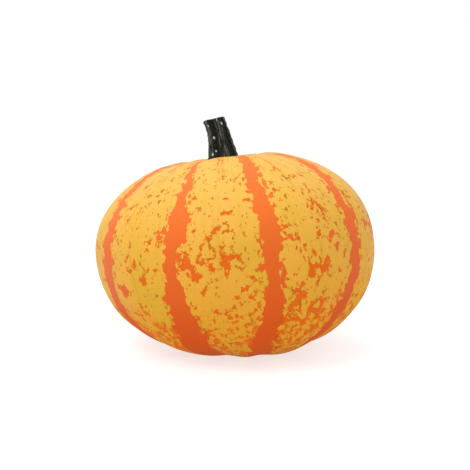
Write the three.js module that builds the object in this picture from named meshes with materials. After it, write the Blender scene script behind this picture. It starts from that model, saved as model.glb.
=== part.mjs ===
// A small striped ornamental pumpkin with the cut stub of its stem.
// Millimetres, +Z up, the front faces -Y. The origin is on the surface that the pumpkin rests on,
// below the middle of the whole object's box.
import * as THREE from "three";
import { mergeVertices } from "three/addons/utils/BufferGeometryUtils.js";

// ---- the fruit ----
const FRUIT_RADIUS = 56; // at the widest, over a lobe
const WAIST_HEIGHT = 41.5; // of the widest level, above the surface it rests on
const CROWN_RISE = 38; // from the widest level up to where the shoulders meet
const BELLY_DROP = 44; // from the widest level down to just below the resting flat
const CROWN_FULLNESS = 2.2; // exponent of the upper outline: 2 is an ellipse, more is squarer
const BELLY_FULLNESS = 2.13;
const STEM_DIMPLE = { depth: 8, radius: 11 };
const BLOSSOM_DIMPLE = { depth: 3.2, radius: 9 };
const AXIS_LEAN = 0.142; // the stem end leans to the left, this far for each unit of height
const SHOULDER_TILT = 0.103; // the right shoulder stands higher than the left, by this slope
const BASE_TILT_KEPT = 0.25; // the part of that slope left at the base, which settled flat
// Longitudes of the grooves between the ten lobes, from the front towards the right.
const GROOVES_DEG = [13, 54, 89, 124, 160, 195, 230, 265, 300, 337];
// Groove depths, as parts of the distance to the middle of the fruit.
const GROOVE_DEPTH = { waist: 0.012, crown: 0.015, belly: 0.024 };
const POLE_FADE_RADIUS = 26; // nearer to the axis than this, the grooves run out
const FRUIT_STEPS_ROUND = 80;
const FRUIT_STEPS_UP = 38;

// ---- the stem ----
const STEM_LENGTH = 21.6; // upwards, from the floor of the dimple to the middle of the cut
const STEM_RADIUS = { foot: 7.2, shank: 4.3 }; // over the ridges
const STEM_FLARE_LENGTH = 14; // the foot narrows into the shank over this length
const STEM_HOOK = 0.0045; // how fast the stem bends to the left above its foot
const STEM_RIDGES = 5;
const STEM_RIDGE_DEPTH = 0.14; // as a part of the stem's radius
const STEM_CUT_SLOPE = 0.28; // the cut end stands higher on the right, by this slope
const STEM_STEPS_ROUND = 40;
const STEM_STEPS_UP = 14;
const JOIN_GAP = 0.3; // between the stem's foot and the fruit

const FULL_TURN = 2 * Math.PI;
const GROOVES = GROOVES_DEG.map(THREE.MathUtils.degToRad);

function smooth(value) {
  const t = THREE.MathUtils.clamp(value, 0, 1);
  return t * t * (3 - 2 * t);
}

// How deep in a groove a longitude lies: 1 along a groove, 0 along the ridge of a lobe.
function grooveAt(longitude) {
  const first = GROOVES[0];
  const here = first + THREE.MathUtils.euclideanModulo(longitude - first, FULL_TURN);
  const start = GROOVES.findLast((groove) => groove <= here);
  const end = GROOVES.find((groove) => groove > here) ?? first + FULL_TURN;
  return 0.5 + 0.5 * Math.cos((FULL_TURN * (here - start)) / (end - start));
}

// A point of the rind: latitude runs from -90 degrees at the blossom end to 90 at the stem.
function rindPoint(latitude, longitude) {
  const crown = latitude > 0;
  const power = 2 / (crown ? CROWN_FULLNESS : BELLY_FULLNESS);
  const dimple = crown ? STEM_DIMPLE : BLOSSOM_DIMPLE;
  const height = crown ? CROWN_RISE : -BELLY_DROP;
  const grooveAtPole = crown ? GROOVE_DEPTH.crown : GROOVE_DEPTH.belly;

  const rise = Math.abs(Math.sin(latitude)) ** power;
  const girth = FRUIT_RADIUS * Math.max(Math.cos(latitude), 0) ** power;
  const depth = THREE.MathUtils.lerp(GROOVE_DEPTH.waist, grooveAtPole, rise * rise);
  const shrink = 1 - depth * grooveAt(longitude) * smooth(girth / POLE_FADE_RADIUS);
  const radius = girth * shrink;
  const hollow = dimple.depth * Math.exp(-((radius / dimple.radius) ** 2));
  const level = height * rise * shrink - Math.sign(height) * hollow;

  const right = radius * Math.sin(longitude);
  const settled = smooth((WAIST_HEIGHT + level) / WAIST_HEIGHT);
  const tilt = SHOULDER_TILT * THREE.MathUtils.lerp(BASE_TILT_KEPT, 1, settled);
  return new THREE.Vector3(
    right - level * AXIS_LEAN,
    -radius * Math.cos(longitude),
    Math.max(WAIST_HEIGHT + level + right * tilt, 0),
  );
}

// The latitude at which the crown has a given distance from the axis.
function crownLatitude(radius) {
  return Math.acos((radius / FRUIT_RADIUS) ** (CROWN_FULLNESS / 2));
}

// A point of the stem's side: along runs from 0 at the foot to 1 at the cut end.
function stemPoint(along, longitude) {
  const flare = 1 - smooth((along * STEM_LENGTH) / STEM_FLARE_LENGTH);
  const ridge = 0.5 - 0.5 * Math.cos(STEM_RIDGES * longitude);
  const outer = THREE.MathUtils.lerp(STEM_RADIUS.shank, STEM_RADIUS.foot, flare ** 1.5);
  const radius = outer * (1 - STEM_RIDGE_DEPTH * ridge);
  const right = radius * Math.sin(longitude);

  const floor = rindPoint(Math.PI / 2, 0);
  const foot = rindPoint(crownLatitude(radius), longitude).z + JOIN_GAP;
  const cut = floor.z + STEM_LENGTH + right * STEM_CUT_SLOPE;
  const z = THREE.MathUtils.lerp(foot, cut, along);
  const rise = z - floor.z;
  const axis = floor.x - rise * AXIS_LEAN - STEM_HOOK * rise * rise;
  return new THREE.Vector3(axis + right, -radius * Math.cos(longitude), z);
}

// Moves every corner of a closed geometry to where place(corner) says.
function reshape(geometry, place) {
  geometry.deleteAttribute("normal");
  geometry.deleteAttribute("uv");
  const closed = mergeVertices(geometry);
  const corners = closed.getAttribute("position");
  for (let i = 0; i < corners.count; i += 1) {
    const moved = place(new THREE.Vector3().fromBufferAttribute(corners, i));
    corners.setXYZ(i, moved.x, moved.y, moved.z);
  }
  closed.computeVertexNormals();
  return closed;
}

function makeFruit() {
  const ball = new THREE.SphereGeometry(1, FRUIT_STEPS_ROUND, FRUIT_STEPS_UP);
  ball.rotateX(Math.PI / 2);
  const rind = reshape(ball, ({ x, y, z }) =>
    rindPoint(Math.asin(THREE.MathUtils.clamp(z, -1, 1)), Math.atan2(x, -y)),
  );
  const orangeYellow = new THREE.MeshStandardMaterial({ color: 0xf0b746, roughness: 0.42, metalness: 0 });
  const fruit = new THREE.Mesh(rind, orangeYellow);
  fruit.name = "fruit";
  return fruit;
}

function makeStem() {
  const rod = new THREE.CylinderGeometry(1, 1, 1, STEM_STEPS_ROUND, STEM_STEPS_UP);
  rod.rotateX(Math.PI / 2);
  const stub = reshape(rod, ({ x, y, z }) => {
    const along = z + 0.5;
    if (Math.hypot(x, y) > 0.5) return stemPoint(along, Math.atan2(x, -y));
    // The middle of each end: the foot follows the floor of the dimple, the cut end is flat.
    const end = stemPoint(along, 0).lerp(stemPoint(along, Math.PI), 0.5);
    if (along < 0.5) end.z = rindPoint(Math.PI / 2, 0).z + JOIN_GAP;
    return end;
  });
  const charcoal = new THREE.MeshStandardMaterial({ color: 0x2b2a22, roughness: 0.75, metalness: 0 });
  const stem = new THREE.Mesh(stub, charcoal);
  stem.name = "stem";
  return stem;
}

const pumpkin = new THREE.Group();
pumpkin.add(makeFruit(), makeStem());
const box = new THREE.Box3().setFromObject(pumpkin, true);
const middle = box.getCenter(new THREE.Vector3());
pumpkin.position.set(-middle.x, -middle.y, -box.min.z);

export default pumpkin;
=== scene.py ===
import math

import bmesh
import bpy
import numpy as np
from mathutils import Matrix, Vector


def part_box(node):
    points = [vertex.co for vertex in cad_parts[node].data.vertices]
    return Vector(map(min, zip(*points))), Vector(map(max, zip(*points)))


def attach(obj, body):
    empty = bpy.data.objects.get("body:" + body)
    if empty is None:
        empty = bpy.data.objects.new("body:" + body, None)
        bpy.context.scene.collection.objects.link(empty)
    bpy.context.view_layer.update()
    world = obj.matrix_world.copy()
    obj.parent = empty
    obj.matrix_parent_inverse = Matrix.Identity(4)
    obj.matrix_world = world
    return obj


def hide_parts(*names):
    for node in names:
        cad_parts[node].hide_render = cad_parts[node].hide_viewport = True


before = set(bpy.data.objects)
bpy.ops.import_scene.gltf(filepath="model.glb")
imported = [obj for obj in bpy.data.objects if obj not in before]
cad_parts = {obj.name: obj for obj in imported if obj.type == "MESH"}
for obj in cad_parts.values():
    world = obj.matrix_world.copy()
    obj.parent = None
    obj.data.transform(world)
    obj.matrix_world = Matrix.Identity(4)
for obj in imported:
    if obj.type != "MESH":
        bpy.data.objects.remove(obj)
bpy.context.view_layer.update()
scene = bpy.context.scene
scene.view_settings.view_transform = "Standard"


# ---- The camera: near the height of the fruit's shoulder, looking straight at the front ----
# It stands about six times the fruit's radius away, so the shoulders hide the foot of the stem.
CAMERA_DISTANCE = 0.35
CAMERA_ELEVATION = math.radians(7.2)
CAMERA_AIM = Vector((0.0, 0.0, 0.0458))
away = Vector((0, -math.cos(CAMERA_ELEVATION), math.sin(CAMERA_ELEVATION)))
camera_data = bpy.data.cameras.new("camera")
camera_data.lens = 65.5
camera_data.sensor_width = 36
camera_data.clip_start = 0.01
camera = bpy.data.objects.new("camera", camera_data)
scene.collection.objects.link(camera)
camera.location = CAMERA_AIM + CAMERA_DISTANCE * away
camera.rotation_euler = away.to_track_quat("Z", "Y").to_euler()
scene.camera = camera


# ---- The light: a white tent, with a large soft box over the front ----
# The tent lights every side alike. The boxes give the rind its broad pale sheen near the top.
world = bpy.data.worlds.new("white_tent")
world.use_nodes = True
world.node_tree.nodes["Background"].inputs["Color"].default_value = (1, 1, 1, 1)
world.node_tree.nodes["Background"].inputs["Strength"].default_value = 1.0
scene.world = world


def add_soft_box(name, place, aim, width, height, power):
    box_data = bpy.data.lights.new(name, "AREA")
    box_data.shape = "RECTANGLE"
    box_data.size = width
    box_data.size_y = height
    box_data.energy = power
    box = bpy.data.objects.new(name, box_data)
    scene.collection.objects.link(box)
    box.location = place
    box.rotation_euler = (Vector(place) - Vector(aim)).to_track_quat("Z", "Y").to_euler()


FRUIT_MIDDLE = (0, 0, 0.045)
add_soft_box("key_box", (-0.35, -0.45, 0.75), FRUIT_MIDDLE, 0.35, 0.3, 2.4)
add_soft_box("top_box", (-0.15, 0.1, 0.9), FRUIT_MIDDLE, 0.7, 0.7, 2.0)


# ---- The floor: a plain pale sheet under the pumpkin ----
# It is matte opal sheet, lit from below so that shadows stay soft, and far wider than the view.
FLOOR_SIZE = 6.0
bpy.ops.object.select_all(action="DESELECT")
bpy.ops.mesh.primitive_plane_add(size=FLOOR_SIZE, location=(0, 0, 0))
floor = bpy.context.object
floor.name = "floor"
paper = bpy.data.materials.new("white_paper")
paper.use_nodes = True
paper_shader = paper.node_tree.nodes["Principled BSDF"]
paper_shader.inputs["Base Color"].default_value = (0.4, 0.4, 0.4, 1)
paper_shader.inputs["Roughness"].default_value = 0.9
paper_shader.inputs["Emission Color"].default_value = (1, 1, 1, 1)
paper_shader.inputs["Emission Strength"].default_value = 0.68
floor.data.materials.append(paper)


# ---- The fruit: one squat pumpkin of ten shallow lobes ----
# It grew on its side of the stem, so it leans: the stem end to the left, the right shoulder up.
# It starts as a ball whose rings and ribs are pulled to size, and a cage of points leans it.
MM = 0.001
FRUIT_RADIUS = 56 * MM
WAIST_HEIGHT = 41.5 * MM
CROWN_RISE = 38 * MM
BELLY_DROP = 44 * MM
CROWN_FULLNESS = 2.2
BELLY_FULLNESS = 2.22
STEM_DIMPLE_DEPTH = 8 * MM
STEM_DIMPLE_RADIUS = 11 * MM
BLOSSOM_DIMPLE_DEPTH = 3.2 * MM
BLOSSOM_DIMPLE_RADIUS = 9 * MM
AXIS_LEAN = 0.142
SHOULDER_TILT = 0.118
BASE_TILT_KEPT = -0.25
RIBS = 80
RINGS = 38
GROOVES = [math.radians(a) for a in (13, 54, 89, 124, 160, 195, 230, 265, 300, 337)]
WAIST_GROOVE = 0.012
CROWN_GROOVE = 0.015
BELLY_GROOVE = 0.024
TURN = 2 * math.pi


def pick(mesh, test):
    """In edit mode, selects the vertices that pass a test of their place, and nothing else."""
    shape = bmesh.from_edit_mesh(mesh)
    for vertex in shape.verts:
        vertex.select = bool(test(vertex.co))
    shape.select_flush_mode()
    bmesh.update_edit_mesh(mesh)


def apply_all(piece):
    """Applies a piece's modifiers from first to last."""
    for modifier in list(piece.modifiers):
        bpy.ops.object.modifier_apply(modifier=modifier.name)


def vertex_places(mesh):
    """The places of a mesh's vertices, one to a row."""
    places = np.empty(len(mesh.vertices) * 3)
    mesh.vertices.foreach_get("co", places)
    return places.reshape(-1, 3)


def keep_field(mesh, name, values):
    """Keeps a number or a vector for each vertex, under a name that the material reads."""
    values = np.asarray(values, dtype=float)
    if values.ndim == 2:
        mesh.attributes.new(name, "FLOAT_VECTOR", "POINT").data.foreach_set("vector", values.ravel())
    else:
        mesh.attributes.new(name, "FLOAT", "POINT").data.foreach_set("value", values)


bpy.ops.object.select_all(action="DESELECT")
bpy.ops.mesh.primitive_uv_sphere_add(segments=RIBS, ring_count=RINGS, radius=1, location=(0, 0, 0))
fruit = bpy.context.object
fruit.name = "rind"
rind_mesh = fruit.data
rind_mesh.uv_layers[0].name = "OFBake"

# Each ring's latitude stays with it as it is shaped, for the markings that follow the growth.
ring_latitudes = [math.asin(max(-1, min(1, vertex.co.z))) for vertex in rind_mesh.vertices]
keep_field(rind_mesh, "latitude", ring_latitudes)

bpy.ops.object.mode_set(mode="EDIT")
bpy.context.tool_settings.mesh_select_mode = (True, False, False)
for ring in range(RINGS + 1):
    latitude = math.pi * (ring / RINGS - 0.5)
    crown = latitude > 0
    power = 2 / (CROWN_FULLNESS if crown else BELLY_FULLNESS)
    girth = FRUIT_RADIUS * max(math.cos(latitude), 0) ** power
    rise = (CROWN_RISE if crown else BELLY_DROP) * abs(math.sin(latitude)) ** power
    if crown:
        rise -= STEM_DIMPLE_DEPTH * math.exp(-((girth / STEM_DIMPLE_RADIUS) ** 2))
    else:
        rise -= BLOSSOM_DIMPLE_DEPTH * math.exp(-((girth / BLOSSOM_DIMPLE_RADIUS) ** 2))
    wide = girth / max(math.cos(latitude), 1e-6)
    tall = rise / max(abs(math.sin(latitude)), 1e-6)
    height = math.sin(latitude)
    pick(rind_mesh, lambda co: abs(co.length - 1) < 1e-4 and abs(co.z - height) < 1e-4)
    bpy.ops.transform.resize(value=(wide, wide, tall), center_override=(0, 0, 0))

for rib in range(RIBS):
    longitude = TURN * rib / RIBS
    here = GROOVES[0] + (longitude - GROOVES[0]) % TURN
    start = max(groove for groove in GROOVES if groove <= here)
    end = min([groove for groove in GROOVES if groove > here] + [GROOVES[0] + TURN])
    sunk = 0.5 + 0.5 * math.cos(TURN * (here - start) / (end - start))
    side = Vector((math.sin(longitude), -math.cos(longitude), 0))
    across = Vector((math.cos(longitude), math.sin(longitude), 0))
    for nearest, farthest, strength in ((8 * MM, 17 * MM, 0.4), (17 * MM, 60 * MM, 1.0)):
        for sign, pole_groove in ((1, CROWN_GROOVE), (-1, BELLY_GROOVE)):
            pick(
                rind_mesh,
                lambda co: abs(co.dot(across)) < 0.3 * MM
                and nearest < co.dot(side) <= farthest
                and (co.z > 0 if sign > 0 else co.z <= 0),
            )
            around = 1 - WAIST_GROOVE * sunk * strength
            upright = 1 - pole_groove * sunk * strength
            bpy.ops.transform.resize(value=(around, around, upright), center_override=(0, 0, 0))

# The lobes at the front of the crown swelled higher than the rest.
SWELLING_PLACE = Vector((4 * MM, -21 * MM, 37 * MM))
SWELLING_RISE = 1.2 * MM
SWELLING_REACH = 24 * MM
nearest = min((vertex.co - SWELLING_PLACE).length for vertex in bmesh.from_edit_mesh(rind_mesh).verts)
pick(rind_mesh, lambda co: (co - SWELLING_PLACE).length <= nearest + 1e-6)
bpy.ops.transform.translate(
    value=(0, 0, SWELLING_RISE),
    use_proportional_edit=True,
    proportional_edit_falloff="SMOOTH",
    proportional_size=SWELLING_REACH,
)
bpy.ops.object.mode_set(mode="OBJECT")

smoother = fruit.modifiers.new("smooth", "SUBSURF")
smoother.levels = 2
smoother.render_levels = 2
apply_all(fruit)

# The markings' own coordinates: round the fruit and along its ribs, as it would be without its lean.
count = len(rind_mesh.vertices)
places = vertex_places(rind_mesh)
latitudes = np.empty(count)
rind_mesh.attributes["latitude"].data.foreach_get("value", latitudes)
longitudes = np.arctan2(places[:, 0], -places[:, 1])
RIB_ARC = 49.0  # millimetres of rind along a rib for each radian of latitude
GIRTH_ARC = 56.0  # and round the waist, for each radian of longitude
RISE_PER_DEGREE = math.radians(RIB_ARC)
GIRTH_PER_DEGREE = math.radians(GIRTH_ARC)
growth = np.stack(
    [GIRTH_ARC * np.sin(longitudes), -GIRTH_ARC * np.cos(longitudes), RIB_ARC * latitudes], axis=1
)
keep_field(rind_mesh, "growth", growth)

# The stripes: one along each groove. Each row gives longitudes, then half widths, in degrees,
# at these latitudes from the crown to the belly.
STRIPE_LATITUDES = np.radians([-90, -45, -30, -15, 0, 15, 25, 45, 65, 90])
STRIPES = [
    (
        (8, 8, 11, 13.3, 14.2, 14.8, 15, 15, 20, 26),
        (12, 7.0, 4.9, 3.9, 3.4, 4.1, 4.4, 3.9, 4.6, 5),
    ),
    (
        (42, 43, 47.5, 52.3, 54.2, 54.8, 54.6, 61, 68, 72),
        (12, 6.0, 5.0, 4.3, 4.0, 4.0, 2.7, 3.4, 3.6, 5),
    ),
    (
        (88, 88, 88, 89, 90, 89, 88, 90, 94, 96),
        (12, 6.5, 5.2, 4.6, 4.0, 3.4, 3.2, 3.6, 3.4, 5),
    ),
    (
        (122, 123, 124, 125, 124, 123, 124, 127, 130, 130),
        (12, 6.2, 5.0, 3.8, 4.4, 4.0, 3.0, 3.2, 4.0, 5),
    ),
    (
        (162, 161, 160, 160, 159, 160, 162, 163, 160, 160),
        (12, 6.8, 4.6, 4.2, 3.6, 4.6, 4.2, 3.0, 3.4, 5),
    ),
    (
        (194, 195, 196, 194, 195, 196, 195, 194, 198, 200),
        (12, 6.0, 5.4, 4.4, 3.8, 3.6, 4.4, 3.8, 3.6, 5),
    ),
    (
        (232, 231, 229, 230, 231, 230, 229, 230, 226, 224),
        (12, 6.6, 5.0, 4.8, 4.2, 3.2, 3.0, 3.6, 4.2, 5),
    ),
    (
        (266, 265, 264, 265, 266, 265, 265, 262, 260, 258),
        (12, 6.4, 4.6, 4.0, 4.6, 4.2, 3.4, 3.0, 3.2, 5),
    ),
    (
        (298, 298, 297, 298.5, 300, 300.5, 300, 295, 290, 288),
        (12, 6.0, 5.0, 4.6, 4.4, 4.2, 4.0, 3.8, 3.4, 5),
    ),
    (
        (332, 333, 335, 336, 335.6, 337.8, 339, 339.5, 336, 332),
        (12, 9.0, 6.2, 5.0, 2.9, 4.5, 5.2, 3.1, 2.6, 5),
    ),
]
girths = np.hypot(places[:, 0], places[:, 1]) / MM
inside_stripe = np.full(count, -99.0)
for middles, half_widths in STRIPES:
    middle = np.radians(np.interp(latitudes, STRIPE_LATITUDES, middles))
    half_width = np.radians(np.interp(latitudes, STRIPE_LATITUDES, half_widths))
    apart = np.abs((longitudes - middle + math.pi) % TURN - math.pi)
    inside_stripe = np.maximum(inside_stripe, (half_width - apart) * np.maximum(girths, 8))

# Short arms of orange that reach out from the stripes, and one streak that stands alone. Each has
# the longitude and latitude of its two ends, in degrees, and its half width in millimetres.
ARMS = [
    (-25, 14, -15, 2, 0.8), (-22, 23, -17, 20, 1.1), (-28, 17, -32.5, 15, 1.0), (17, 10, 22.5, 9, 1.1),
    (18, -11, 24, -14, 1.1), (41, 9, 34, -1, 0.7), (65, 8, 71, 6, 1.1), (94, 4, 101, -4, 1.0),
    (128, 14, 134, 12, 1.1), (157, -3, 150, -9, 1.0), (200, 20, 207, 24, 1.0), (227, 4, 219, -4, 1.0),
    (270, 12, 276, 10, 1.1), (304, -4, 311, -9, 1.0),
]
for start_east, start_north, end_east, end_north, half_width in ARMS:
    from_east = ((np.degrees(longitudes) - start_east + 180) % 360 - 180) * GIRTH_PER_DEGREE
    from_north = (np.degrees(latitudes) - start_north) * RISE_PER_DEGREE
    arm_east = (end_east - start_east) * GIRTH_PER_DEGREE
    arm_north = (end_north - start_north) * RISE_PER_DEGREE
    along = (from_east * arm_east + from_north * arm_north) / (arm_east ** 2 + arm_north ** 2)
    along = np.clip(along, 0, 1)
    to_arm = np.hypot(from_east - along * arm_east, from_north - along * arm_north)
    inside_stripe = np.maximum(inside_stripe, half_width - to_arm)
keep_field(rind_mesh, "inside_stripe", inside_stripe)

# Where orange flecks crowd together: everywhere low on the belly, and in a few clusters above.
# Each cluster is a longitude and latitude, its reach each way in degrees, and its strength.
CLUSTERS = [
    (-5, 17, 4, 6, 0.75), (-5, 3, 7, 7, 0.85), (8, -8, 5, 8, 0.35), (31, -5, 7, 5, 0.75),
    (40, 12, 6, 8, 0.6), (38, 23, 5, 6, 0.5), (41, 40, 8, 9, 0.3), (-38, 43, 6, 4, 0.4),
    (-33, -2, 4, 5, 0.45), (-43, 3, 8, 10, 0.25), (30, -22, 12, 8, 0.5), (-19, 4, 3, 3, 0.9),
    (-15, -2, 3, 3, 0.8),
    (75, 5, 8, 9, 0.6), (106, 18, 7, 9, 0.5), (110, -6, 8, 7, 0.7), (142, 8, 8, 10, 0.6),
    (150, 35, 6, 8, 0.4), (178, -2, 7, 9, 0.7), (182, 24, 6, 8, 0.4), (212, 12, 8, 9, 0.6),
    (217, -8, 9, 6, 0.6), (247, 2, 7, 10, 0.65), (250, 30, 6, 7, 0.35), (282, 10, 7, 9, 0.5),
]
CROWDING_ALL_OVER = 0.12
CROWDING_LOW_DOWN = 0.56
lowness = np.clip((-np.degrees(latitudes) - 10) / 26, 0, 1)
crowding = CROWDING_ALL_OVER + CROWDING_LOW_DOWN * lowness
for east, north, wide, tall, strength in CLUSTERS:
    across = (np.degrees(longitudes) - east + 180) % 360 - 180
    up = np.degrees(latitudes) - north
    crowding += strength * np.exp(-((across / wide) ** 2) - (up / tall) ** 2)
keep_field(rind_mesh, "crowding", crowding)

# Faint thin orange lines run out from the stem along the middle of each lobe.
VEINS = np.radians([-3, 0.5, 33, 71, 74, 107, 142, 145, 178, 212, 247, 250, 283, 318, 321])
VEIN_HALF_WIDTH = 0.35  # millimetres
to_vein = np.full(count, 99.0)
for vein in VEINS:
    apart = np.abs((longitudes - vein + math.pi) % TURN - math.pi)
    to_vein = np.minimum(to_vein, apart * girths)
crown_only = np.clip((np.degrees(latitudes) - 44) / 12, 0, 1)
keep_field(rind_mesh, "in_vein", np.clip(1.6 - to_vein / VEIN_HALF_WIDTH, 0, 1) * crown_only)

# Painted shade: a faint dark line runs down the middle of each lobe near the waist, standing in for the
# shade of a shallow crease.
LOBE_MIDDLES = np.radians([-5, 34, 72, 107, 142, 178, 213, 248, 283, 318])
to_middle = np.full(count, 99.0)
for middle in LOBE_MIDDLES:
    apart = np.abs((longitudes - middle + math.pi) % TURN - math.pi)
    to_middle = np.minimum(to_middle, apart * girths)
near_waist = np.exp(-(((np.degrees(latitudes) - 8) / 20) ** 2))
keep_field(rind_mesh, "lobe_crease_shade", np.clip(1.3 - to_middle / 0.7, 0, 1) * near_waist)

# The lean, given by a cage of three levels whose points are slid and lifted.
cage_data = bpy.data.lattices.new("cage")
cage_data.points_u, cage_data.points_v, cage_data.points_w = 2, 2, 3
cage_data.interpolation_type_u = "KEY_LINEAR"
cage_data.interpolation_type_v = "KEY_LINEAR"
cage_data.interpolation_type_w = "KEY_LINEAR"
cage = bpy.data.objects.new("cage", cage_data)
scene.collection.objects.link(cage)
CAGE_REACH = 60 * MM
cage.scale = (2 * CAGE_REACH,) * 3
for point in cage_data.points:
    level = point.co.z * 2 * CAGE_REACH
    tilt = SHOULDER_TILT * (BASE_TILT_KEPT if level < 0 else 1)
    point.co_deform.x -= level * AXIS_LEAN / (2 * CAGE_REACH)
    point.co_deform.z += point.co.x * tilt
leaning = fruit.modifiers.new("lean", "LATTICE")
leaning.object = cage
apply_all(fruit)
bpy.data.objects.remove(cage)

# Slight unevenness of the flesh below the rind.
lumps = bpy.data.textures.new("lumps", "CLOUDS")
lumps.noise_scale = 24 * MM
lumps.noise_depth = 1
uneven = fruit.modifiers.new("uneven", "DISPLACE")
uneven.texture = lumps
uneven.texture_coords = "LOCAL"
uneven.mid_level = 0.5
uneven.strength = 1.2 * MM
apply_all(fruit)

# It stands on its settled base, where the frame has its fruit.
low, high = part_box("fruit")
places = vertex_places(rind_mesh)
middle_x = (places[:, 0].min() + places[:, 0].max()) / 2
middle_y = (places[:, 1].min() + places[:, 1].max()) / 2
to_frame = Vector(((low.x + high.x) / 2 - middle_x, (low.y + high.y) / 2 - middle_y, WAIST_HEIGHT))
bpy.ops.object.mode_set(mode="EDIT")
bpy.ops.mesh.select_all(action="SELECT")
bpy.ops.transform.translate(value=to_frame)
pick(rind_mesh, lambda co: co.z < 0)
bpy.ops.transform.resize(value=(1, 1, 0), center_override=(0, 0, 0))
bpy.ops.object.mode_set(mode="OBJECT")
bpy.ops.object.shade_smooth()


def node(tree, kind, inputs, **settings):
    """Adds a node, sets its options, and fills its inputs with numbers or other nodes' outputs."""
    made = tree.nodes.new(kind)
    for name, value in settings.items():
        setattr(made, name, value)
    for key, value in inputs.items():
        if isinstance(value, bpy.types.NodeSocket):
            tree.links.new(value, made.inputs[key])
        else:
            made.inputs[key].default_value = value
    return made


def read_field(tree, name, output="Fac"):
    return node(tree, "ShaderNodeAttribute", {}, attribute_name=name).outputs[output]


def math_node(tree, operation, first, second=0.0, third=0.0):
    return node(tree, "ShaderNodeMath", {0: first, 1: second, 2: third}, operation=operation).outputs[0]


def ramp(tree, value, start, end):
    """0 below start, 1 above end, and smooth between them."""
    made = node(
        tree, "ShaderNodeMapRange", {"Value": value, "From Min": start, "From Max": end}
    )
    made.interpolation_type = "SMOOTHSTEP"
    return made.outputs["Result"]


def blend_colour(tree, amount, first, second):
    made = tree.nodes.new("ShaderNodeMix")
    made.data_type = "RGBA"
    for socket, value in zip((made.inputs[0], made.inputs[6], made.inputs[7]), (amount, first, second)):
        if isinstance(value, bpy.types.NodeSocket):
            tree.links.new(value, socket)
        else:
            socket.default_value = value
    return made.outputs[2]


def noise(tree, place, stretch, size, detail, roughness, shift=0.0):
    """Noise with features of about this size in millimetres, drawn out along the ribs."""
    spread = node(
        tree, "ShaderNodeMapping",
        {"Vector": place, "Location": (shift, -shift, shift), "Scale": (1, 1, 1 / stretch)},
    ).outputs[0]
    return node(
        tree, "ShaderNodeTexNoise",
        {"Vector": spread, "Scale": 1 / size, "Detail": detail, "Roughness": roughness},
    ).outputs["Fac"]


def cells(tree, place, stretch, size, shift=0.0):
    """Random cells of about this size in millimetres, drawn out along the ribs."""
    spread = node(
        tree, "ShaderNodeMapping",
        {"Vector": place, "Location": (shift, shift, -shift), "Scale": (1, 1, 1 / stretch)},
    ).outputs[0]
    made = node(tree, "ShaderNodeTexVoronoi", {"Vector": spread, "Scale": 1 / size, "Randomness": 1.0})
    chance = node(tree, "ShaderNodeSeparateColor", {"Color": made.outputs["Color"]}).outputs["Red"]
    return made.outputs["Distance"], chance


# Each yellow and each orange comes as a pair: one colour painted lighter for the crown and darker for
# the belly, as painted light and shade.
YELLOW_PAINTED_LIGHT = (0.72, 0.41, 0.07, 1)
YELLOW_PAINTED_SHADE = (0.62, 0.27, 0.013, 1)
OLIVE_YELLOW = (0.53, 0.33, 0.014, 1)
ORANGE_PAINTED_LIGHT = (0.74, 0.155, 0.022, 1)
ORANGE_PAINTED_SHADE = (0.55, 0.07, 0.003, 1)
FLECK_ORANGE = (0.62, 0.105, 0.001, 1)
SPECK_OLIVE = (0.33, 0.15, 0.002, 1)
DASH_BROWN = (0.38, 0.10, 0.001, 1)
UNDERSIDE_PAINTED_SHADE = (0.26, 0.08, 0.001, 1)
CREASE_PAINTED_SHADE = (0.42, 0.22, 0.006, 1)
SCAR_CORK = (0.20, 0.12, 0.055, 1)

rind = bpy.data.materials.new("rind")
rind.use_nodes = True
tree = rind.node_tree
shader = tree.nodes["Principled BSDF"]
place = read_field(tree, "growth", "Vector")
stripe = read_field(tree, "inside_stripe")
crowd = read_field(tree, "crowding")
vein = read_field(tree, "in_vein")
height = node(tree, "ShaderNodeSeparateXYZ", {"Vector": place}).outputs["Z"]
# Painted light and shade: by height, the colour runs from the darker belly colour to the lighter crown
# colour, standing in for light from above.
painted_light_by_height = ramp(tree, height, -40, 55)

yellow = blend_colour(tree, painted_light_by_height, YELLOW_PAINTED_SHADE, YELLOW_PAINTED_LIGHT)
cloudy = ramp(tree, noise(tree, place, stretch=1.5, size=26, detail=3, roughness=0.6), 0.42, 0.62)
olive = math_node(tree, "MULTIPLY", cloudy, ramp(tree, height, 40, -25))
yellow = blend_colour(tree, math_node(tree, "MULTIPLY", olive, 0.7), yellow, OLIVE_YELLOW)

# Crumbs of rind colour as a whole: that gives stripes and flecks their small angular edges.
crumb = cells(tree, place, stretch=1.4, size=1.8)[1]
crumbly = math_node(tree, "SUBTRACT", crumb, 0.5)
ragged = noise(tree, place, stretch=1.4, size=4.6, detail=3, roughness=0.6, shift=11)
ragged = math_node(tree, "SUBTRACT", ragged, 0.5)
edge = math_node(tree, "MULTIPLY_ADD", ragged, 7.5, stripe)
edge = math_node(tree, "MULTIPLY_ADD", crumbly, 1.9, edge)
in_stripe = ramp(tree, edge, -0.12, 0.12)

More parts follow.
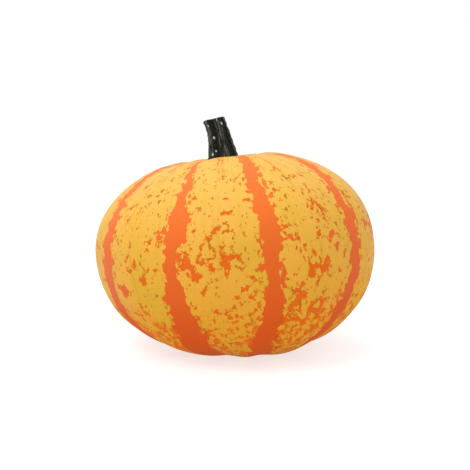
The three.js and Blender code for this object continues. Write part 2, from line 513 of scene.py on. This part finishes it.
fleck_noise = noise(tree, place, stretch=1.2, size=2.5, detail=3, roughness=0.6, shift=37)
near_stripe = math_node(tree, "MULTIPLY", ramp(tree, stripe, -4.0, 0.0), 0.3)
crowd_all = math_node(tree, "ADD", crowd, near_stripe)
fleck_edge = math_node(tree, "MULTIPLY_ADD", crowd_all, 0.23, fleck_noise)
fleck_edge = math_node(tree, "MULTIPLY_ADD", crumbly, 0.20, fleck_edge)
finer = noise(tree, place, stretch=1.0, size=1.5, detail=2, roughness=0.6, shift=29)
finer = math_node(tree, "SUBTRACT", finer, 0.5)
finer = math_node(tree, "MULTIPLY", finer, ramp(tree, height, -6, -26))
fleck_edge = math_node(tree, "MULTIPLY_ADD", finer, 0.6, fleck_edge)
in_fleck = ramp(tree, fleck_edge, 0.70, 0.72)
fleck_rim = ramp(tree, fleck_edge, 0.66, 0.70)

# Fine lines of growth run down every lobe.
grown_lines = noise(tree, place, stretch=16, size=2.2, detail=3, roughness=0.6, shift=71)
grown_lines = ramp(tree, grown_lines, 0.50, 0.66)
yellow = blend_colour(tree, math_node(tree, "MULTIPLY", grown_lines, 0.35), yellow, OLIVE_YELLOW)

# The crease line is painted shade: it darkens the yellow towards a dull gold.
lobe_crease_shade = read_field(tree, "lobe_crease_shade")
broken = ramp(tree, noise(tree, place, stretch=5, size=2, detail=2, roughness=0.5, shift=43), 0.35, 0.6)
lobe_crease_shade = math_node(tree, "MULTIPLY", lobe_crease_shade, broken)
yellow = blend_colour(tree, math_node(tree, "MULTIPLY", lobe_crease_shade, 0.5), yellow, CREASE_PAINTED_SHADE)

# The orange also gets painted light at the crown and painted shade at the belly.
orange = blend_colour(tree, painted_light_by_height, ORANGE_PAINTED_SHADE, ORANGE_PAINTED_LIGHT)
veined = math_node(tree, "MULTIPLY", vein, ramp(tree, fleck_noise, 0.38, 0.5))
colour = blend_colour(tree, math_node(tree, "MULTIPLY", veined, 0.65), yellow, orange)
colour = blend_colour(tree, math_node(tree, "MULTIPLY", fleck_rim, 0.65), colour, DASH_BROWN)
colour = blend_colour(tree, in_fleck, colour, FLECK_ORANGE)
colour = blend_colour(tree, in_stripe, colour, orange)

# Small ragged marks in the skin: orange ones, dashes along the ribs, and dots. Each kind has its
# stretch along the ribs, its size, the noise above which it shows, a shift, a colour and a strength.
off_stripe = ramp(tree, edge, 0.5, -0.4)
mark_hue = noise(tree, place, stretch=1, size=5, detail=1, roughness=0.5, shift=83)
mark_colour = blend_colour(tree, ramp(tree, mark_hue, 0.47, 0.60), DASH_BROWN, SPECK_OLIVE)
ON_STRIPE = 0.1  # what is left of a mark's strength where it lies on a stripe
for stretch, size, start, shift, tint, amount in (
    (1.5, 2.1, 0.69, 61, FLECK_ORANGE, 0.8),
    (2.2, 1.75, 0.69, 17, mark_colour, 0.85),
    (1.3, 1.7, 0.695, 53, mark_colour, 0.9),
):
    mark = noise(tree, place, stretch, size, detail=2, roughness=0.5, shift=shift)
    mark = math_node(tree, "MULTIPLY_ADD", crumbly, 0.10, mark)
    mark = ramp(tree, math_node(tree, "MULTIPLY_ADD", crowd, 0.03, mark), start, start + 0.03)
    strength = math_node(tree, "MULTIPLY_ADD", off_stripe, amount - ON_STRIPE, ON_STRIPE)
    shown = math_node(tree, "MULTIPLY", mark, strength)
    colour = blend_colour(tree, shown, colour, tint)

# Painted shade: low down towards the floor the skin is painted duller and browner, where shade gathers
# under the fruit.
painted_underside_shade = math_node(tree, "MULTIPLY", ramp(tree, height, -30, -60), 0.25)
colour = blend_colour(tree, painted_underside_shade, colour, UNDERSIDE_PAINTED_SHADE)

# The scar where the flower dropped off: a round patch of cork at the very bottom.
cork_edge = noise(tree, place, stretch=1, size=1.6, detail=3, roughness=0.6, shift=3)
cork_edge = math_node(tree, "MULTIPLY_ADD", cork_edge, 5.0, height)
in_scar = ramp(tree, cork_edge, -69.5, -70.5)
colour = blend_colour(tree, in_scar, colour, SCAR_CORK)

tree.links.new(colour, shader.inputs["Base Color"])
gloss = noise(tree, place, stretch=1, size=9, detail=3, roughness=0.6, shift=5)
waxy = node(
    tree, "ShaderNodeMapRange",
    {"Value": gloss, "From Min": 0.3, "From Max": 0.7, "To Min": 0.42, "To Max": 0.56},
).outputs["Result"]
roughness = math_node(tree, "MULTIPLY_ADD", ramp(tree, height, 0, -35), 0.38, waxy)
tree.links.new(roughness, shader.inputs["Roughness"])
shader.inputs["Specular IOR Level"].default_value = 0.12
pores = noise(tree, place, stretch=1, size=0.9, detail=3, roughness=0.6)
swell = noise(tree, place, stretch=1, size=7, detail=2, roughness=0.5)
relief = math_node(tree, "MULTIPLY_ADD", swell, 2.0, pores)
bump = node(tree, "ShaderNodeBump", {"Height": relief, "Strength": 0.25, "Distance": 0.15 * MM})
tree.links.new(bump.outputs["Normal"], shader.inputs["Normal"])
rind_mesh.materials.clear()
rind_mesh.materials.append(rind)
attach(fruit, "root")
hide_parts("fruit")


# ---- The stem: the cut stub of the vine, dry, dark and corky ----
# Five blunt ridges run up it from toes that grip the floor of the dimple. It leans to the left
# and was cut square across. It grew from the fruit, so its foot is sunk a little into the rind.
STEM_LENGTH = 21.4 * MM
STEM_LEAN = 0.115
STEM_SINK = 0.8 * MM
FOOT_RADIUS = 8.5 * MM
SHANK_RADIUS = 4.45 * MM
FLARE_LENGTH = 20 * MM
STEM_HOOK = 220  # how fast the lean grows towards the top, for each square metre
STEM_SIDES = 60
STEM_STEPS = 18
CUT_SLOPE = 0.22
RIDGE_DEPTH = 0.20
stem_foot = Vector((-(CROWN_RISE - STEM_DIMPLE_DEPTH) * AXIS_LEAN + to_frame.x, to_frame.y, 0))
stem_foot.z = WAIST_HEIGHT + CROWN_RISE - STEM_DIMPLE_DEPTH


def stem_outline(angle):
    """How far out the stem's side lies at an angle: five blunt ridges, with a finer rib between."""
    valley = 1 - abs(math.cos(2.5 * angle - 0.75))
    return 1 - RIDGE_DEPTH * valley ** 1.3 + 0.035 * math.cos(15 * angle + 1.0)


def stem_centre(rise):
    return stem_foot + Vector((-rise * STEM_LEAN - STEM_HOOK * max(rise, 0) ** 3, 0, rise))


def stem_radius(rise):
    flare = 1 - min(max(rise + STEM_SINK, 0) / FLARE_LENGTH, 1)
    return SHANK_RADIUS + (FOOT_RADIUS - SHANK_RADIUS) * flare ** 1.8


bpy.ops.object.select_all(action="DESELECT")
bpy.ops.mesh.primitive_circle_add(
    vertices=STEM_SIDES, radius=stem_radius(-STEM_SINK), fill_type="NGON", location=(0, 0, 0)
)
stem = bpy.context.object
stem.name = "stem_stub"
stem_mesh = stem.data
for layer in list(stem_mesh.uv_layers):
    stem_mesh.uv_layers.remove(layer)
bpy.ops.object.mode_set(mode="EDIT")
for side in range(STEM_SIDES):
    angle = TURN * side / STEM_SIDES
    toward = Vector((math.sin(angle), -math.cos(angle), 0))
    pick(stem_mesh, lambda co: co.normalized().dot(toward) > math.cos(TURN / STEM_SIDES / 2))
    bpy.ops.transform.resize(value=(stem_outline(angle),) * 3, center_override=(0, 0, 0))
bpy.ops.mesh.select_all(action="SELECT")
bpy.ops.transform.translate(value=stem_centre(-STEM_SINK))

bpy.context.tool_settings.mesh_select_mode = (False, False, True)
rise = -STEM_SINK
step = (STEM_LENGTH + STEM_SINK) / STEM_STEPS
for _ in range(STEM_STEPS):
    above = rise + step
    move = stem_centre(above) - stem_centre(rise)
    grow = stem_radius(above) / stem_radius(rise)
    bpy.ops.mesh.extrude_region_move(TRANSFORM_OT_translate={"value": move})
    bpy.ops.transform.resize(value=(grow, grow, grow), center_override=stem_centre(above))
    bpy.ops.transform.rotate(
        value=math.atan(CUT_SLOPE) / STEM_STEPS, orient_axis="Y", center_override=stem_centre(above)
    )
    rise = above

# The cut end: a rough rim, and the pith shrunk down inside it.
for inward, lift in ((0.5, 0), (0.5, -0.7), (1.1, -0.5), (1.0, 0.3)):
    bpy.ops.mesh.inset(thickness=inward * MM)
    bpy.ops.transform.translate(value=(0, 0, lift * MM))
bpy.context.tool_settings.mesh_select_mode = (True, False, False)
bpy.ops.mesh.select_all(action="SELECT")
bpy.ops.mesh.normals_make_consistent(inside=False)
bpy.ops.object.mode_set(mode="OBJECT")
smoother = stem.modifiers.new("smooth", "SUBSURF")
smoother.levels = 2
smoother.render_levels = 2
bark = bpy.data.textures.new("bark", "CLOUDS")
bark.noise_scale = 1.6 * MM
bark.noise_depth = 2
rough = stem.modifiers.new("rough", "DISPLACE")
rough.texture = bark
rough.texture_coords = "LOCAL"
rough.mid_level = 0.5
rough.strength = 0.7 * MM
apply_all(stem)
bpy.ops.object.shade_smooth()

# The grain's own coordinates run round the stem and up along it.
places = vertex_places(stem_mesh)
rises = places[:, 2] - stem_foot.z
centre_x = stem_foot.x - rises * STEM_LEAN - STEM_HOOK * np.maximum(rises, 0) ** 3
turns = np.arctan2(places[:, 0] - centre_x, -(places[:, 1] - stem_foot.y))
outward = np.hypot(places[:, 0] - centre_x, places[:, 1] - stem_foot.y) / MM
grain = np.stack([outward * np.sin(turns), -outward * np.cos(turns), rises / MM], axis=1)
keep_field(stem_mesh, "grain", grain)
keep_field(stem_mesh, "crest", np.abs(np.cos(2.5 * turns - 0.75)))

# A few painted glints: pale spots painted where small highlights show. Each is its turn, its height and
# its size in millimetres.
PLACED_GLINTS = [(0.72, 19.6, 0.5), (-0.75, 18.6, 0.3), (-0.45, 8.6, 0.35), (-0.7, 7.2, 0.45)]
placed_glints_here = np.zeros(len(places))
for turn, height_up, glint_size in PLACED_GLINTS:
    apart = np.hypot((turns - turn) * outward, (rises / MM - height_up) / 1.5)
    placed_glints_here = np.maximum(placed_glints_here, np.exp(-((apart / glint_size) ** 2)))
keep_field(stem_mesh, "placed_glints", placed_glints_here)


def specks(tree, place, stretch, size, radius, kept, shift):
    """Ragged specks, one to a cell, in the part of the cells that is kept. Radius is a part of size."""
    distance, chance = cells(tree, place, stretch, size, shift)
    grown = math_node(tree, "MULTIPLY", ramp(tree, chance, 0.98 - kept, 1.02 - kept), radius)
    blur = noise(tree, place, stretch=1.3, size=1.1, detail=2, roughness=0.6, shift=shift)
    wobble = math_node(tree, "SUBTRACT", blur, 0.5)
    reach = math_node(tree, "MULTIPLY_ADD", wobble, 1.2 * radius, distance)
    return ramp(tree, math_node(tree, "SUBTRACT", grown, reach), -0.02, 0.05)


CHARCOAL = (0.005, 0.006, 0.004, 1)
GREY_GRAIN_AND_PAINTED_HIGHLIGHT = (0.105, 0.112, 0.085, 1)
FOOT_GREEN = (0.020, 0.034, 0.018, 1)
GLINT_PAINT = (0.55, 0.55, 0.50, 1)
bark_material = bpy.data.materials.new("stem_bark")
bark_material.use_nodes = True
tree = bark_material.node_tree
shader = tree.nodes["Principled BSDF"]
grain_place = read_field(tree, "grain", "Vector")
crest = read_field(tree, "crest")
rise_up = node(tree, "ShaderNodeSeparateXYZ", {"Vector": grain_place}).outputs["Z"]
# Grey streaks along the grain, weighted onto the ridge crests: partly the stem's own grey bark, partly
# a painted highlight where the crests catch the light.
streaks = noise(tree, grain_place, stretch=10, size=0.75, detail=4, roughness=0.7)
grain_and_painted_highlight = ramp(tree, math_node(tree, "MULTIPLY_ADD", crest, 0.26, streaks), 0.68, 0.86)
colour = blend_colour(tree, ramp(tree, rise_up, 9, 2), CHARCOAL, FOOT_GREEN)
colour = blend_colour(tree, math_node(tree, "MULTIPLY", grain_and_painted_highlight, 0.8), colour, GREY_GRAIN_AND_PAINTED_HIGHLIGHT)
# Painted glints: small pale specks painted in to stand in for tiny highlights on the dry skin.
painted_glints = specks(tree, grain_place, stretch=1.6, size=1.7, radius=0.25, kept=0.08, shift=7)
placed_glints = read_field(tree, "placed_glints")
painted_glints = math_node(tree, "MAXIMUM", painted_glints, ramp(tree, placed_glints, 0.45, 0.6))
colour = blend_colour(tree, math_node(tree, "MULTIPLY", painted_glints, 0.85), colour, GLINT_PAINT)
tree.links.new(colour, shader.inputs["Base Color"])
shader.inputs["Roughness"].default_value = 0.6
shader.inputs["Specular IOR Level"].default_value = 0.15
fibres = noise(tree, grain_place, stretch=7, size=0.55, detail=4, roughness=0.7, shift=3)
bump = node(tree, "ShaderNodeBump", {"Height": fibres, "Strength": 0.7, "Distance": 0.4 * MM})
tree.links.new(bump.outputs["Normal"], shader.inputs["Normal"])
stem_mesh.materials.clear()
stem_mesh.materials.append(bark_material)
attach(stem, "root")
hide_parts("stem")
